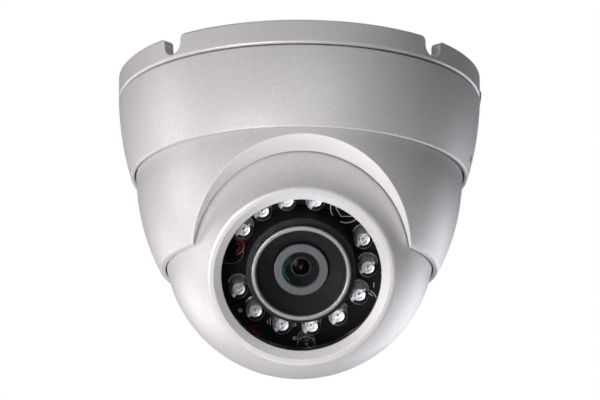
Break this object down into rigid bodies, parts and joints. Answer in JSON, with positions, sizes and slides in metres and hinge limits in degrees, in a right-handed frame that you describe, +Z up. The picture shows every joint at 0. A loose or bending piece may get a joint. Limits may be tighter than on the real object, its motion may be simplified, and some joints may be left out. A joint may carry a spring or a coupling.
{
  "type": "ceiling turret camera",
  "caption": "Ceiling turret security camera: round base, trim ring, panning shell with an arch opening, and a tilting, rolling ball behind whose flat window sit a lens and infrared lamps.",
  "frame": {"origin": "centre of the mounting base's ceiling face", "axes": "+Z up out of the ceiling face along the pan axis, -Y towards the front that the lens faces at rest, +X to the right seen from the front, along the tilt axis"},
  "size_m": [0.0937, 0.0934, 0.0794],
  "materials": {
    "shell_paint": "die-cast, fine-textured satin powder coat",
    "steel": "plated",
    "nylon": "natural nylon",
    "rubber": "matt",
    "cable_jacket": "satin jacket",
    "bracket_metal": "machined",
    "connector_plastic": "satin",
    "window_glass": "clear, flat",
    "black_plastic": "fine-textured",
    "lamp_board": "black solder mask",
    "lamp_epoxy": "clear epoxy",
    "red_wire": "satin insulation",
    "black_wire": "satin insulation",
    "rim_metal": "satin",
    "lens_ring": "satin anodised",
    "black_metal": "black anodised",
    "lens_glass": "coated",
    "copper": "enamelled wire",
    "filter_glass": "infrared-blocking",
    "circuit_board": "green solder mask",
    "chip": "moulded",
    "brass": "plain"
  },
  "bodies": {
    "base": {"mounting_base": "shell_paint", "trim_ring": "shell_paint", "lock_screws": "black_metal", "pan_friction_ring": "nylon", "cable_grommet": "rubber", "pigtail_cable": "cable_jacket"},
    "turret": {"turret_shell": "shell_paint", "trunnion_keepers": "bracket_metal", "keeper_screws": "steel"},
    "yoke": {"tilt_yoke": "shell_paint"},
    "ball": {"front_shell": "shell_paint", "rear_shell": "shell_paint", "shell_seal": "rubber", "shell_screws": "steel", "yoke_retaining_ring": "bracket_metal", "cable_gland": "rubber", "gland_nut": "nylon", "camera_cable": "cable_jacket", "cable_socket": "connector_plastic", "window": "window_glass", "window_gasket": "rubber", "window_retainer": "black_plastic", "ir_board": "lamp_board", "ir_board_screws": "steel", "ir_leds": "lamp_epoxy", "light_sensor": "lamp_epoxy", "led_wire_red": "red_wire", "led_wire_black": "black_wire", "hood_rim": "rim_metal", "lens_hood": "black_plastic", "lens_front_ring": "lens_ring", "lens_barrel": "black_metal", "front_element": "lens_glass", "rear_element": "lens_glass", "lens_holder": "black_plastic", "ircut_coil": "copper", "sensor_board": "circuit_board", "image_sensor": "chip", "main_board": "circuit_board", "processor": "chip", "board_connector": "connector_plastic", "board_standoffs": "brass", "board_screws": "steel", "board_bracket": "black_plastic", "bracket_screws": "steel"},
    "day_night_filter": {"ircut_slider": "black_plastic", "ir_cut_filter": "filter_glass", "clear_filter": "lens_glass"}
  },
  "joints": [
    {"name": "pan", "type": "hinge", "parent": "base", "child": "turret", "pos_m": [0, 0, -0.02], "axis": [0, 0, 1], "range_deg": [-180, 180]},
    {"name": "tilt", "type": "hinge", "parent": "turret", "child": "yoke", "pos_m": [0, 0, -0.0448], "axis": [1, 0, 0], "range_deg": [-24, 54]},
    {"name": "roll", "type": "hinge", "parent": "yoke", "child": "ball", "pos_m": [0, 0, -0.0448], "axis": [0, -0.809, -0.5878], "range_deg": [-180, 180]},
    {"name": "filter_slide", "type": "slide", "parent": "ball", "child": "day_night_filter", "axis": [1, 0, 0], "range_m": [0, 0.0055]}
  ]
}
